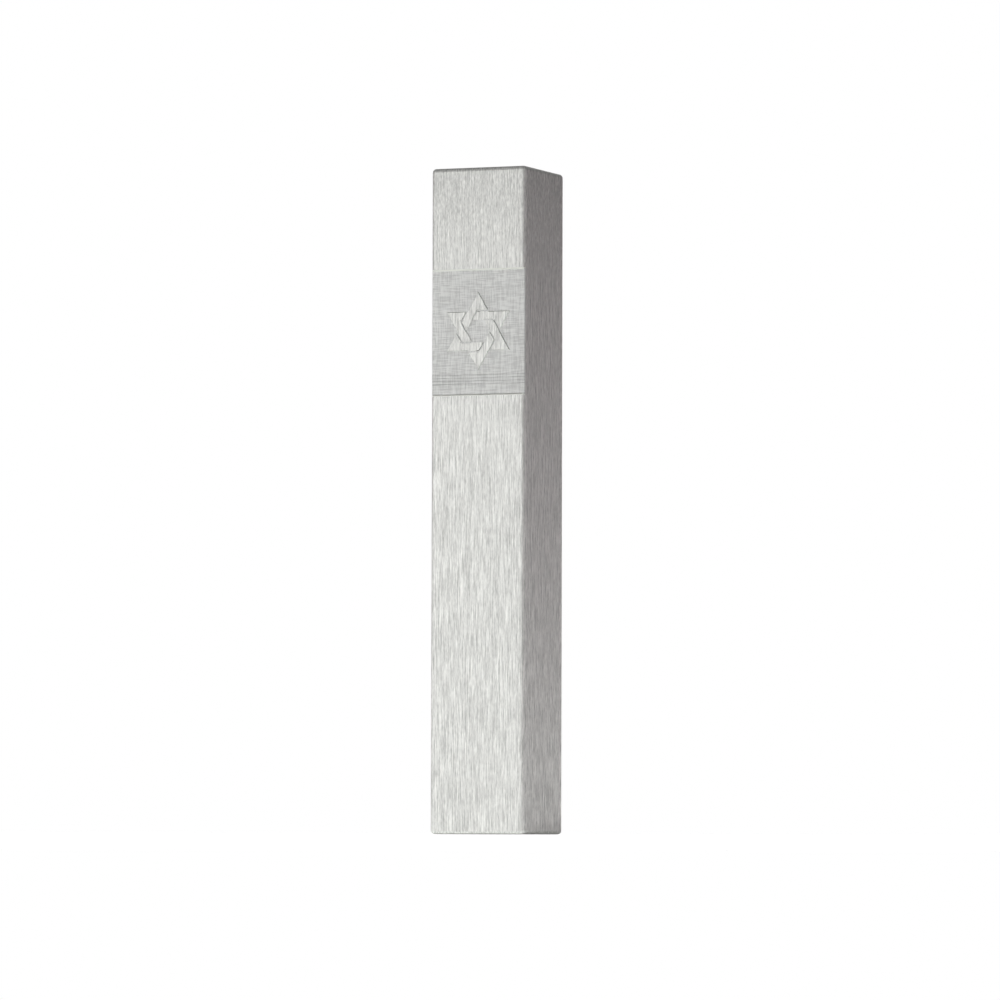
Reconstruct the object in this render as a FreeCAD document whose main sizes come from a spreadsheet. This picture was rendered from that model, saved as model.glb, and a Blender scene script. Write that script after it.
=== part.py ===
"""Mezuzah case: a brushed square aluminium bar that slides down over a wall plate.

The bar is bored from the top for a rolled scroll in its clear tube, and closed by a flush
plug with two O-rings. A T-slot, open at the bottom and rounded at its blind upper end, runs up
the back. The T-shaped wall plate is screwed to the doorpost, the case is lowered over it, and a
small set screw in the left side locks the two together.

Frame, in millimetres: X to the viewer's right, Y into the doorpost, Z up. The origin is on the
doorpost's surface, midway up the case and midway between the plate's two screw holes.
"""

import FreeCAD, Part
import math
import os

import Sketcher

Vector = FreeCAD.Vector

# Driving dimensions, in millimetres and degrees. The value of each becomes a cell of the sheet.
DIMENSIONS = [
    ("case_width", 18.4, "outer width of the square bar"),
    ("case_depth", 18.4, "outer depth of the square bar"),
    ("case_height", 120.0, "outer height"),
    ("corner_round", 0.8, "radius of the bar's four upright edges"),
    ("end_round", 0.7, "radius of the edges round its two ends"),
    ("wall_gap", 0.3, "air between the case's back and the doorpost"),
    ("rest_gap", 0.02, "play where one piece rests on another"),
    ("bore_diameter", 11.6, "bore for the scroll tube"),
    ("bore_floor", 4.0, "solid metal under the bore"),
    ("bore_setback", 7.8, "front face to the bore's axis"),
    ("seat_diameter", 12.4, "plug seat at the top of the bore"),
    ("seat_depth", 7.0, "depth of the plug seat"),
    ("seat_chamfer", 0.3, "chamfer at the mouth of the seat"),
    ("lip_thickness", 1.3, "metal that holds the plate's head in the T-slot"),
    ("slot_depth", 3.0, "back face to the floor of the T-slot"),
    ("slot_head_width", 12.2, "T-slot, wide part"),
    ("slot_mouth_width", 8.8, "T-slot, narrow part at the back face"),
    ("slot_end_below_top", 12.1, "top face to the centre of the slot's round end"),
    ("slide_gap", 0.1, "clearance between wall plate and T-slot, each side"),
    ("plate_end_above_base", 3.0, "case's base to the plate's lower end"),
    ("hole_spacing", 80.0, "between the two screw holes"),
    ("hole_diameter", 3.4, "clearance for a 3 mm screw"),
    ("sink_diameter", 6.6, "countersink for its head"),
    ("tape_width", 6.4, "foam tape"),
    ("tape_length", 24.0, "foam tape"),
    ("tape_thickness", 0.8, "foam tape, pressed level with the plate's back"),
    ("tape_inset", 6.0, "middle of the plate to the near end of a tape"),
    ("tape_gap", 0.1, "clearance round a tape in its recess"),
    ("band_below_top", 18.5, "top face to the upper edge of the milled band"),
    ("band_height", 22.6, "milled band across the front"),
    ("relief", 0.2, "depth of the band, and height of the emblem in it"),
    ("emblem_below_top", 29.6, "top face to the emblem's centre"),
    ("emblem_radius", 7.1, "emblem's centre to each of its points"),
    ("emblem_strap", 1.4, "width of its straps at their foot"),
    ("emblem_slope", 30.0, "slope of the straps' sides, from upright"),
    ("emblem_gap", 0.3, "gap where a strap passes under another"),
    ("plug_gap", 0.05, "clearance round the plug"),
    ("plug_chamfer", 0.25, "chamfer round the plug's face"),
    ("pull_hole_diameter", 2.5, "tapped hole for a 3 mm screw that draws the plug"),
    ("pull_hole_depth", 5.5, "the same hole"),
    ("spigot_length", 4.0, "neck of the plug that carries the scroll tube"),
    ("ring_section", 1.1, "O-ring thickness"),
    ("ring_gap", 0.01, "play between an O-ring and its groove"),
    ("ring_groove", 1.3, "width of an O-ring groove"),
    ("ring_depth_one", 2.4, "plug's face to the upper groove's middle"),
    ("ring_depth_two", 4.8, "plug's face to the lower groove's middle"),
    ("tube_diameter", 11.2, "outside of the scroll tube"),
    ("tube_wall", 0.4, "wall of the scroll tube"),
    ("tube_rest_gap", 0.3, "air between the tube's cap and the floor of the bore"),
    ("cap_flange", 1.0, "thickness of the tube cap's flange"),
    ("cap_plug", 2.6, "length of the cap inside the tube"),
    ("cap_gap", 0.05, "clearance of cap and spigot in the tube"),
    ("scroll_height", 100.0, "height of the parchment sheet"),
    ("scroll_radius", 4.85, "outside of the rolled parchment"),
    ("scroll_pitch", 0.48, "spacing of its turns"),
    ("scroll_sheet", 0.28, "thickness of the parchment"),
    ("screw_hole_diameter", 2.5, "tapped hole for the set screw"),
    ("screw_diameter", 2.4, "set screw"),
    ("screw_length", 2.5, "set screw"),
    ("screw_recess", 0.1, "side face to the sunk end of the set screw"),
    ("screw_above_base", 10.0, "case's base to the set screw's axis"),
    ("screw_chamfer", 0.2, "chamfer at both ends of the set screw"),
    ("socket_width", 1.3, "hexagon socket, across its flats"),
    ("socket_depth", 1.0, "hexagon socket"),
    ("tip_hole_diameter", 1.1, "hole for the stem of the soft tip"),
    ("tip_hole_depth", 0.8, "hole for the stem of the soft tip"),
    ("tip_diameter", 1.8, "head of the soft tip"),
    ("tip_gap", 0.03, "clearance round the stem of the soft tip, and past its end"),
]

# Half turns in the rolled parchment.
SCROLL_HALF_TURNS = 8

# Places worked out from the driving dimensions, as expressions on the sheet. Depths are counted
# from the doorpost towards the viewer, and heights up or down from the middle of the case.
FRONT = "(dims.wall_gap + dims.case_depth)"
BORE_AXIS = "(dims.wall_gap + dims.case_depth - dims.bore_setback)"
END = "(dims.case_height / 2)"
LIP = "(dims.wall_gap + dims.lip_thickness)"
SLOT_END = "(dims.case_height / 2 - dims.slot_end_below_top)"
PLATE_HEAD = "(dims.wall_gap + dims.lip_thickness + dims.slide_gap)"
PLATE_FRONT = "(dims.wall_gap + dims.slot_depth - dims.slide_gap)"
PLATE_ROUND_END = "(dims.case_height / 2 - dims.slot_end_below_top + dims.slide_gap - dims.rest_gap)"
PLATE_FOOT = "(dims.case_height / 2 - dims.plate_end_above_base)"
SEAT_FLOOR = "(dims.case_height / 2 - dims.seat_depth)"
PLUG_SHOULDER = "(dims.case_height / 2 - dims.seat_depth + dims.rest_gap)"
BORE_FLOOR = "(dims.case_height / 2 - dims.bore_floor)"
CAP_BOTTOM = "(dims.case_height / 2 - dims.bore_floor - dims.tube_rest_gap)"
TUBE_FOOT = "(dims.case_height / 2 - dims.bore_floor - dims.tube_rest_gap - dims.cap_flange)"
SCROLL_FOOT = f"({TUBE_FOOT} - dims.cap_plug)"
TUBE_INSIDE = "(dims.tube_diameter / 2 - dims.tube_wall)"
RING_RADIUS = "(dims.seat_diameter / 2 - dims.rest_gap - dims.ring_section / 2)"
SCREW_HEIGHT = "(dims.case_height / 2 - dims.screw_above_base)"
SCREW_DEPTH = f"(({PLATE_HEAD} + {PLATE_FRONT}) / 2)"
SCREW_OUTER = "(dims.case_width / 2 - dims.screw_recess)"
SCREW_INNER = "(dims.case_width / 2 - dims.screw_recess - dims.screw_length)"
PLATE_EDGE = "(dims.slot_head_width / 2 - dims.slide_gap)"


def make_sheet(doc):
    """The spreadsheet of driving dimensions: name, value and meaning in each row."""
    sheet = doc.addObject("Spreadsheet::Sheet", "dims")
    for row, (alias, value, meaning) in enumerate(DIMENSIONS, start=1):
        sheet.set(f"A{row}", alias)
        sheet.set(f"B{row}", str(value))
        sheet.set(f"C{row}", meaning)
        sheet.setAlias(f"B{row}", alias)
    doc.recompute()


def value_of(doc, expression):
    """The number that an expression on the sheet has now."""
    return float(doc.getObject("dims").evalExpression(expression.replace("dims.", "")))


def new_body(doc, label):
    """A PartDesign body, which becomes one node."""
    body = doc.addObject("PartDesign::Body", label)
    body.Label = label
    return body


def plane_of(body, role):
    """One of the body's own origin planes."""
    return next(feature for feature in body.Origin.OriginFeatures if feature.Role == role)


def new_sketch(body, name, plane, offset=None):
    """A sketch on one of the body's origin planes, moved by expressions in the sketch's axes."""
    sketch = body.newObject("Sketcher::SketchObject", name)
    sketch.AttachmentSupport = [(plane_of(body, plane), "")]
    sketch.MapMode = "FlatFace"
    for axis, expression in (offset or {}).items():
        sketch.setExpression(f"AttachmentOffset.Base.{axis}", expression)
    return sketch


def bind(sketch, kind, references, expression):
    """Adds a constraint whose value follows an expression on the sheet."""
    value = value_of(sketch.Document, expression)
    index = sketch.addConstraint(Sketcher.Constraint(kind, *references, value))
    sketch.setExpression(f"Constraints[{index}]", expression)


def bind_point(sketch, edge, end, across, up):
    """Ties one end of an edge, or its centre, to a place given as two expressions."""
    bind(sketch, "DistanceX", (-1, 1, edge, end), across)
    bind(sketch, "DistanceY", (-1, 1, edge, end), up)


def join(sketch, *ends):
    """Makes the two ends of each pair meet."""
    for edge, end, other_edge, other_end in ends:
        sketch.addConstraint(Sketcher.Constraint("Coincident", edge, end, other_edge, other_end))


def polygon(sketch, corners):
    """A closed outline through corners, each given as two expressions."""
    doc = sketch.Document
    points = [Vector(value_of(doc, across), value_of(doc, up), 0) for across, up in corners]
    edges = []
    for start, end in zip(points, points[1:] + points[:1]):
        edges.append(sketch.addGeometry(Part.LineSegment(start, end)))
    for edge, following in zip(edges, edges[1:] + edges[:1]):
        join(sketch, (edge, 2, following, 1))
    for edge, (across, up) in zip(edges, corners):
        bind_point(sketch, edge, 1, across, up)


def rectangle(sketch, left, low, right, high):
    """An upright rectangle between four expressions."""
    polygon(sketch, [(left, low), (right, low), (right, high), (left, high)])


def circle(sketch, radius):
    """A circle about the sketch's own origin."""
    flat = Part.Circle(Vector(0, 0, 0), Vector(0, 0, 1), value_of(sketch.Document, radius))
    edge = sketch.addGeometry(flat)
    join(sketch, (edge, 3, -1, 1))
    bind(sketch, "Radius", (edge,), radius)


def round_ended_strip(sketch, radius, low, high):
    """An upright strip, square at its foot and round at its head, as wide as twice the radius."""
    doc = sketch.Document
    half, bottom, centre = (value_of(doc, expression) for expression in (radius, low, high))
    foot_left, foot_right = Vector(-half, bottom, 0), Vector(half, bottom, 0)
    shoulder_left, shoulder_right = Vector(-half, centre, 0), Vector(half, centre, 0)
    left = sketch.addGeometry(Part.LineSegment(shoulder_left, foot_left))
    foot = sketch.addGeometry(Part.LineSegment(foot_left, foot_right))
    right = sketch.addGeometry(Part.LineSegment(foot_right, shoulder_right))
    head = sketch.addGeometry(Part.Arc(shoulder_right, Vector(0, centre + half, 0), shoulder_left))
    join(sketch, (left, 2, foot, 1), (foot, 2, right, 1), (right, 2, head, 1), (head, 2, left, 1))
    bind_point(sketch, foot, 1, f"-({radius})", low)
    bind_point(sketch, foot, 2, radius, low)
    bind_point(sketch, head, 1, radius, high)
    bind_point(sketch, head, 2, f"-({radius})", high)
    bind(sketch, "DistanceY", (-1, 1, head, 3), high)


def pad(body, sketch, length):
    """Adds the sketch's area, drawn out along its normal."""
    feature = body.newObject("PartDesign::Pad", sketch.Name + "_pad")
    feature.Profile = sketch
    feature.setExpression("Length", length)
    return feature


def pocket(body, sketch, length, both=False):
    """Cuts the sketch's area along its normal, or half the length each way."""
    feature = body.newObject("PartDesign::Pocket", sketch.Name + "_cut")
    feature.Profile = sketch
    feature.setExpression("Length", length)
    feature.Reversed = not both
    feature.Midplane = both
    return feature


def revolve(body, sketch, axis, kind="Revolution"):
    """Turns the sketch's area a full circle about one of its axes: Revolution adds, Groove cuts."""
    feature = body.newObject(f"PartDesign::{kind}", f"{sketch.Name}_turned")
    feature.Profile = sketch
    feature.ReferenceAxis = (sketch, [axis])
    feature.Angle = 360.0
    return feature


def is_level(edge):
    """Whether an edge lies in a level plane."""
    return edge.BoundBox.ZLength < 0.001


def round_edges(body, base, name, radius, level):
    """Rounds the level edges of the base feature, or all the others."""
    body.Document.recompute()
    edges = enumerate(base.Shape.Edges, start=1)
    names = [f"Edge{number}" for number, edge in edges if is_level(edge) == level]
    feature = body.newObject("PartDesign::Fillet", name)
    feature.Base = (base, names)
    feature.setExpression("Radius", radius)
    return feature


def bar(body):
    """The square bar with every edge rounded."""
    half = "dims.case_width / 2"
    section = new_sketch(body, "bar_section", "XY_Plane", {"z": f"-{END}"})
    rectangle(section, f"-{half}", f"-{FRONT}", half, "-dims.wall_gap")
    block = pad(body, section, "dims.case_height")
    rounded = round_edges(body, block, "bar_corners", "dims.corner_round", level=False)
    round_edges(body, rounded, "bar_ends", "dims.end_round", level=True)


def bore(body):
    """The scroll bore with its wider plug seat, drilled from the top face."""
    profile = new_sketch(body, "bore_profile", "YZ_Plane", {"x": f"-{BORE_AXIS}"})
    seat, inner, chamfer = "dims.seat_diameter / 2", "dims.bore_diameter / 2", "dims.seat_chamfer"
    corners = [("0", f"-{BORE_FLOOR}"), (inner, f"-{BORE_FLOOR}"), (inner, SEAT_FLOOR)]
    corners += [(seat, SEAT_FLOOR), (seat, f"{END} - {chamfer}"), (f"{seat} + {chamfer}", END)]
    corners += [(f"{seat} + {chamfer}", f"{END} + 1"), ("0", f"{END} + 1")]
    polygon(profile, corners)
    revolve(body, profile, "V_Axis", "Groove")


def t_slot(body):
    """The T-slot up the back: a narrow mouth at the back face and a wide head behind its lips."""
    below = f"-({END} + 1)"
    mouth = new_sketch(body, "slot_mouth", "XZ_Plane", {"z": "dims.wall_gap - 1"})
    round_ended_strip(mouth, "dims.slot_mouth_width / 2", below, SLOT_END)
    pocket(body, mouth, "dims.slot_depth + 1")
    head = new_sketch(body, "slot_head", "XZ_Plane", {"z": LIP})
    round_ended_strip(head, "dims.slot_head_width / 2", below, SLOT_END)
    pocket(body, head, "dims.slot_depth - dims.lip_thickness")


def set_screw_hole(body):
    """The tapped hole from the left side into the wide part of the T-slot."""
    offset = {"x": f"-{SCREW_DEPTH}", "y": f"-{SCREW_HEIGHT}", "z": "-dims.case_width / 2 - 1"}
    outline = new_sketch(body, "set_screw_hole", "YZ_Plane", offset)
    circle(outline, "dims.screw_hole_diameter / 2")
    pocket(body, outline, f"1 + dims.case_width / 2 - {PLATE_EDGE}")


def milled_band(body):
    """The shallow band across the front, with sloping upper and lower sides."""
    high = f"({END} - dims.band_below_top)"
    low = f"({END} - dims.band_below_top - dims.band_height)"
    outside, floor = f"-({FRONT} + dims.relief)", f"-({FRONT} - dims.relief)"
    profile = new_sketch(body, "band_profile", "YZ_Plane")
    corners = [(floor, f"{low} + dims.relief"), (floor, f"{high} - dims.relief")]
    corners += [(outside, f"{high} + dims.relief"), (outside, f"{low} - dims.relief")]
    polygon(profile, corners)
    pocket(body, profile, "dims.case_width + 2", both=True)


def emblem_triangle(body, name, side):
    """One of the emblem's two triangular straps, with its point up (1) or down (-1)."""
    offset = {"y": f"{END} - dims.emblem_below_top", "z": f"{FRONT} - dims.relief"}
    outline = new_sketch(body, name, "XZ_Plane", offset)
    for reach in ("dims.emblem_radius", "(dims.emblem_radius - 2 * dims.emblem_strap)"):
        foot = f"{-side} * {reach} / 2"
        corners = [("0", f"{side} * {reach}"), (f"{reach} * cos(30)", foot)]
        corners += [(f"-{reach} * cos(30)", foot)]
        polygon(outline, corners)
    strap = pad(body, outline, "dims.relief")
    strap.setExpression("TaperAngle", "-dims.emblem_slope")


def emblem_gaps(body):
    """Narrow cuts beside each of the six crossings, so that the straps pass over and under.

    At each crossing one strap runs 60 degrees and the other 120 degrees from the spoke to it.
    The second passes over, and the first is cut on both sides of it.
    """
    middle = "(dims.emblem_radius - dims.emblem_strap) / 2 / cos(30)"
    inner, outer = "dims.emblem_strap / 2", "(dims.emblem_strap / 2 + dims.emblem_gap)"
    reach = "(dims.emblem_strap / 2 + dims.emblem_gap / 2) / cos(30)"
    offset = {"y": f"{END} - dims.emblem_below_top", "z": f"{FRONT} - dims.relief"}
    outline = new_sketch(body, "emblem_gaps", "XZ_Plane", offset)
    for spoke in range(0, 360, 60):
        for side in (1, -1):
            corners = []
            for edge, end in ((inner, -1), (inner, 1), (outer, 1), (outer, -1)):
                steps = [(middle, spoke), (f"{side} * {edge} / cos(30)", spoke + 60)]
                steps += [(f"{end} * {reach}", spoke + 120)]
                across = " + ".join(f"{length} * cos({angle})" for length, angle in steps)
                up = " + ".join(f"{length} * sin({angle})" for length, angle in steps)
                corners.append((across, up))
            polygon(outline, corners)
    pocket(body, outline, "2 * dims.relief")


def case_body(doc):
    """The brushed bar, bored and slotted, with the milled band and the raised emblem."""
    body = new_body(doc, "case_body")
    bar(body)
    bore(body)
    t_slot(body)
    set_screw_hole(body)
    milled_band(body)
    emblem_triangle(body, "emblem_up", 1)
    emblem_triangle(body, "emblem_down", -1)
    emblem_gaps(body)


def wall_plate(doc):
    """The T-shaped plate: a narrow stem against the doorpost and a wide head in the T-slot."""
    body = new_body(doc, "wall_plate")
    stem = new_sketch(body, "plate_stem", "XZ_Plane")
    stem_half = "(dims.slot_mouth_width / 2 - dims.slide_gap)"
    round_ended_strip(stem, stem_half, f"-{PLATE_FOOT}", PLATE_ROUND_END)
    pad(body, stem, PLATE_HEAD)
    head = new_sketch(body, "plate_head", "XZ_Plane", {"z": PLATE_HEAD})
    round_ended_strip(head, PLATE_EDGE, f"-{PLATE_FOOT}", PLATE_ROUND_END)
    pad(body, head, f"{PLATE_FRONT} - {PLATE_HEAD}")
    hole = new_sketch(body, "plate_hole", "YZ_Plane", {"y": "dims.hole_spacing / 2"})
    shank, sink = "dims.hole_diameter / 2", "dims.sink_diameter / 2"
    corners = [("1", "0"), ("1", shank), (f"{sink} - {shank} - {PLATE_FRONT}", shank)]
    corners += [(f"-{PLATE_FRONT}", sink), (f"-{PLATE_FRONT} - 1", sink)]
    corners += [(f"-{PLATE_FRONT} - 1", "0")]
    polygon(hole, corners)
    sunk_hole = revolve(body, hole, "H_Axis", "Groove")
    recess = new_sketch(body, "tape_recess", "XZ_Plane")
    half, low = "(dims.tape_width / 2 + dims.tape_gap)", "(dims.tape_inset - dims.tape_gap)"
    high = "(dims.tape_inset + dims.tape_length + dims.tape_gap)"
    rectangle(recess, f"-{half}", low, half, high)
    tape_recess = pocket(body, recess, "dims.tape_thickness")
    lower_half = body.newObject("PartDesign::Mirrored", "plate_lower_half")
    lower_half.Originals = [sunk_hole, tape_recess]
    lower_half.MirrorPlane = (plane_of(body, "XY_Plane"), [""])
    body.Tip = lower_half


def foam_tape(doc, label, low):
    """A strip of double-sided foam tape in its recess, level with the plate's back."""
    tape = doc.addObject("Part::Box", label)
    tape.setExpression("Length", "dims.tape_width")
    tape.setExpression("Width", "dims.tape_thickness")
    tape.setExpression("Height", "dims.tape_length")
    tape.setExpression("Placement.Base.x", "-dims.tape_width / 2")
    tape.setExpression("Placement.Base.y", "-dims.tape_thickness")
    tape.setExpression("Placement.Base.z", low)


def closing_plug(doc):
    """The turned plug: flush head with two ring grooves, and a spigot that carries the tube."""
    body = new_body(doc, "closing_plug")
    profile = new_sketch(body, "plug_profile", "YZ_Plane", {"x": f"-{BORE_AXIS}"})
    rim, root = "(dims.seat_diameter / 2 - dims.plug_gap)", "(dims.pull_hole_diameter / 2)"
    groove = f"({RING_RADIUS} - dims.ring_section / 2 - dims.ring_gap)"
    spigot, chamfer = f"({TUBE_INSIDE} - dims.cap_gap)", "dims.plug_chamfer"
    hole_floor = f"({END} - dims.pull_hole_depth)"
    corners = [("0", hole_floor), (root, hole_floor), (root, f"{END} - {chamfer}")]
    corners += [(f"{root} + {chamfer}", END), (f"{rim} - {chamfer}", END)]
    corners += [(rim, f"{END} - {chamfer}")]
    for middle in ("dims.ring_depth_one", "dims.ring_depth_two"):
        high = f"{END} - {middle} + dims.ring_groove / 2"
        low = f"{END} - {middle} - dims.ring_groove / 2"
        corners += [(rim, high), (groove, high), (groove, low), (rim, low)]
    corners += [(rim, PLUG_SHOULDER), (spigot, PLUG_SHOULDER)]
    corners += [(spigot, f"{PLUG_SHOULDER} - dims.spigot_length")]
    corners += [("0", f"{PLUG_SHOULDER} - dims.spigot_length")]
    polygon(profile, corners)
    revolve(body, profile, "V_Axis")


def o_ring(doc, label, depth):
    """A rubber ring in one of the plug's grooves, reaching almost to the wall of the seat."""
    ring = doc.addObject("Part::Torus", label)
    ring.setExpression("Radius1", RING_RADIUS)
    ring.setExpression("Radius2", "dims.ring_section / 2")
    ring.setExpression("Placement.Base.y", f"-{BORE_AXIS}")
    ring.setExpression("Placement.Base.z", f"{END} - {depth}")


def scroll_tube(doc):
    """The clear tube from the plug's shoulder down to its own cap."""
    body = new_body(doc, "scroll_tube")
    offset = {"y": f"-{BORE_AXIS}", "z": f"-{TUBE_FOOT}"}
    section = new_sketch(body, "tube_section", "XY_Plane", offset)
    circle(section, "dims.tube_diameter / 2")
    circle(section, TUBE_INSIDE)
    pad(body, section, f"{PLUG_SHOULDER} + {TUBE_FOOT}")


def tube_cap(doc):
    """The cap pushed into the tube's lower end."""
    body = new_body(doc, "tube_cap")
    profile = new_sketch(body, "cap_profile", "YZ_Plane", {"x": f"-{BORE_AXIS}"})
    rim, plug = "dims.tube_diameter / 2", f"({TUBE_INSIDE} - dims.cap_gap)"
    corners = [("0", f"-{CAP_BOTTOM}"), (rim, f"-{CAP_BOTTOM}"), (rim, f"-{TUBE_FOOT}")]
    corners += [(plug, f"-{TUBE_FOOT}"), (plug, f"-{SCROLL_FOOT}"), ("0", f"-{SCROLL_FOOT}")]
    polygon(profile, corners)
    revolve(body, profile, "V_Axis")


def half_turns(sketch, start):
    """A spiral inwards from start, of half circles on two centres. Returns its edges."""
    doc = sketch.Document
    reach, pitch = value_of(doc, start), value_of(doc, "dims.scroll_pitch")
    edges = []
    for number in range(SCROLL_HALF_TURNS):
        side = 1 if number % 2 == 0 else -1
        radius = reach - pitch / 4
        flat = Part.Circle(Vector(side * pitch / 4, 0, 0), Vector(0, 0, 1), radius)
        first = 0 if side == 1 else math.pi
        edge = sketch.addGeometry(Part.ArcOfCircle(flat, first, first + math.pi))
        bind_point(sketch, edge, 3, f"{side} * dims.scroll_pitch / 4", "0")
        sketch.addConstraint(Sketcher.Constraint("PointOnObject", edge, 2, -1))
        if edges:
            join(sketch, (edges[-1], 2, edge, 1))
        edges.append(edge)
        reach -= pitch / 2
    bind_point(sketch, edges[0], 1, start, "0")
    return edges


def parchment_scroll(doc):
    """The parchment sheet, rolled up loosely and standing on the tube's cap."""
    body = new_body(doc, "parchment_scroll")
    offset = {"y": f"-{BORE_AXIS}", "z": f"-{SCROLL_FOOT}"}
    section = new_sketch(body, "scroll_section", "XY_Plane", offset)
    outside = half_turns(section, "dims.scroll_radius")
    inside = half_turns(section, "dims.scroll_radius - dims.scroll_sheet")
    for number, end in ((0, 1), (-1, 2)):
        far, near = (section.getPoint(side[number], end) for side in (outside, inside))
        edge = section.addGeometry(Part.LineSegment(far, near))
        join(section, (outside[number], end, edge, 1), (inside[number], end, edge, 2))
    pad(body, section, "dims.scroll_height")


def lock_screw(doc):
    """The set screw: hexagon socket outwards, and a hole for its soft tip inwards."""
    body = new_body(doc, "lock_screw")
    offset = {"y": f"-{SCREW_DEPTH}", "z": f"-{SCREW_HEIGHT}"}
    profile = new_sketch(body, "screw_profile", "XY_Plane", offset)
    rim, chamfer, stem = "dims.screw_diameter / 2", "dims.screw_chamfer", "dims.tip_hole_diameter / 2"
    corners = [(f"-{SCREW_OUTER}", "0"), (f"-{SCREW_OUTER}", f"{rim} - {chamfer}")]
    corners += [(f"-{SCREW_OUTER} + {chamfer}", rim), (f"-{SCREW_INNER} - {chamfer}", rim)]
    corners += [(f"-{SCREW_INNER}", f"{rim} - {chamfer}"), (f"-{SCREW_INNER}", stem)]
    corners += [(f"-{SCREW_INNER} - dims.tip_hole_depth", stem)]
    corners += [(f"-{SCREW_INNER} - dims.tip_hole_depth", "0")]
    polygon(profile, corners)
    revolve(body, profile, "H_Axis")
    offset = {"x": f"-{SCREW_DEPTH}", "y": f"-{SCREW_HEIGHT}", "z": f"-{SCREW_OUTER}"}
    socket = new_sketch(body, "screw_socket", "YZ_Plane", offset)
    corner_radius = "dims.socket_width / 2 / cos(30)"
    corners = []
    for angle in range(0, 360, 60):
        corners.append((f"{corner_radius} * cos({angle})", f"{corner_radius} * sin({angle})"))
    polygon(socket, corners)
    pocket(body, socket, "dims.socket_depth")


def lock_screw_tip(doc):
    """The soft tip that bears on the plate's edge, on a stem in the end of the set screw."""
    body = new_body(doc, "lock_screw_tip")
    offset = {"y": f"-{SCREW_DEPTH}", "z": f"-{SCREW_HEIGHT}"}
    profile = new_sketch(body, "tip_profile", "XY_Plane", offset)
    back, face = f"(dims.tip_gap - {SCREW_INNER})", f"-({PLATE_EDGE} + dims.rest_gap)"
    stem_end = f"(2 * dims.tip_gap - {SCREW_INNER} - dims.tip_hole_depth)"
    head, stem = "dims.tip_diameter / 2", "(dims.tip_hole_diameter / 2 - dims.tip_gap)"
    corners = [(stem_end, "0"), (stem_end, stem), (back, stem), (back, head)]
    corners += [(face, head), (face, "0")]
    polygon(profile, corners)
    revolve(body, profile, "H_Axis")


def build():
    """The document with every sub-part."""
    doc = FreeCAD.newDocument("mezuzah_case")
    make_sheet(doc)
    case_body(doc)
    wall_plate(doc)
    foam_tape(doc, "foam_tape_upper", "dims.tape_inset")
    foam_tape(doc, "foam_tape_lower", "-dims.tape_inset - dims.tape_length")
    lock_screw(doc)
    lock_screw_tip(doc)
    closing_plug(doc)
    o_ring(doc, "o_ring_upper", "dims.ring_depth_one")
    o_ring(doc, "o_ring_lower", "dims.ring_depth_two")
    scroll_tube(doc)
    tube_cap(doc)
    parchment_scroll(doc)
    doc.recompute()
    return doc


def sub_parts(doc):
    """The objects that become nodes: every body, and the plain primitives."""
    kinds = ("PartDesign::Body", "Part::Box", "Part::Torus")
    return [obj for obj in doc.Objects if obj.TypeId in kinds]


def check(doc):
    """Stops with a message if any object failed or any sub-part isn't one valid solid."""
    for obj in doc.Objects:
        if "Invalid" in obj.State or "Error" in obj.State:
            raise RuntimeError(f"{obj.Label} failed: {obj.State}")
    for obj in sub_parts(doc):
        shape = obj.Shape
        if shape.isNull() or not shape.isValid() or len(shape.Solids) != 1:
            raise RuntimeError(f"{obj.Label} isn't one valid solid")


def write(doc):
    """One STEP file for each sub-part, named by its label."""
    os.makedirs("parts", exist_ok=True)
    for obj in sub_parts(doc):
        obj.Shape.exportStep(f"parts/{obj.Label}.step")
        print(f"{obj.Label}: {obj.Shape.Volume:.2f} mm3")


document = build()
check(document)
write(document)
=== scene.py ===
"""A mezuzah case of brushed aluminium, on a pale floor in soft studio light.

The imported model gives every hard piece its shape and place. This file adds the soft pieces, which
are two foam tapes and the rolled parchment, gives each piece its finish, and sets the stage.
Lengths are in metres, with X to the viewer's right, Y into the doorpost and Z up.
"""

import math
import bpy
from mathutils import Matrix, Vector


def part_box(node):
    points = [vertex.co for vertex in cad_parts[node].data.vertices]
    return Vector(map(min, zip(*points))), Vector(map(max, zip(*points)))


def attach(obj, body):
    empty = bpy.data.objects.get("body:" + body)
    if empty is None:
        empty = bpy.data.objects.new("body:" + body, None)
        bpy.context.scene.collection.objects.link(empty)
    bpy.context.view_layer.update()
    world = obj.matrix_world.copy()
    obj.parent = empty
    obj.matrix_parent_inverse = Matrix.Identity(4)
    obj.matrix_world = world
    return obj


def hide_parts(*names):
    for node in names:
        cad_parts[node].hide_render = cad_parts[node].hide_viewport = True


bl_info = {
    "name": "Mezuzah Case",
    "version": (1, 0, 0),
    "blender": (4, 5, 0),
    "location": "View3D > Sidebar > Mezuzah",
    "description": "Finishes the pieces of a brushed mezuzah case and sets its stage",
    "category": "Object",
}

import bmesh
import bpy
from bpy.props import FloatProperty, FloatVectorProperty, IntProperty, PointerProperty
from mathutils import Matrix, Vector, noise

MM = 0.001
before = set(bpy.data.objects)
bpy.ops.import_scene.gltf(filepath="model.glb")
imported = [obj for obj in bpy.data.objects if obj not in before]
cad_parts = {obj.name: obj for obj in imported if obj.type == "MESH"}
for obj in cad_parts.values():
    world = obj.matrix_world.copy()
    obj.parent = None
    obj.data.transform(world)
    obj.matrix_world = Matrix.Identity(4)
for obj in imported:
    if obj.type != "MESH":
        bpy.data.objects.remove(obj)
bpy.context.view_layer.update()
CASE_LOW, CASE_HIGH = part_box("case_body")
CASE_CENTRE = (CASE_LOW + CASE_HIGH) / 2

# Sockets of a Mix node that mixes colours or vectors.
COLOUR_A, COLOUR_B, COLOUR_OUT = 6, 7, 2
VECTOR_A, VECTOR_B, VECTOR_OUT = 4, 5, 1


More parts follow.
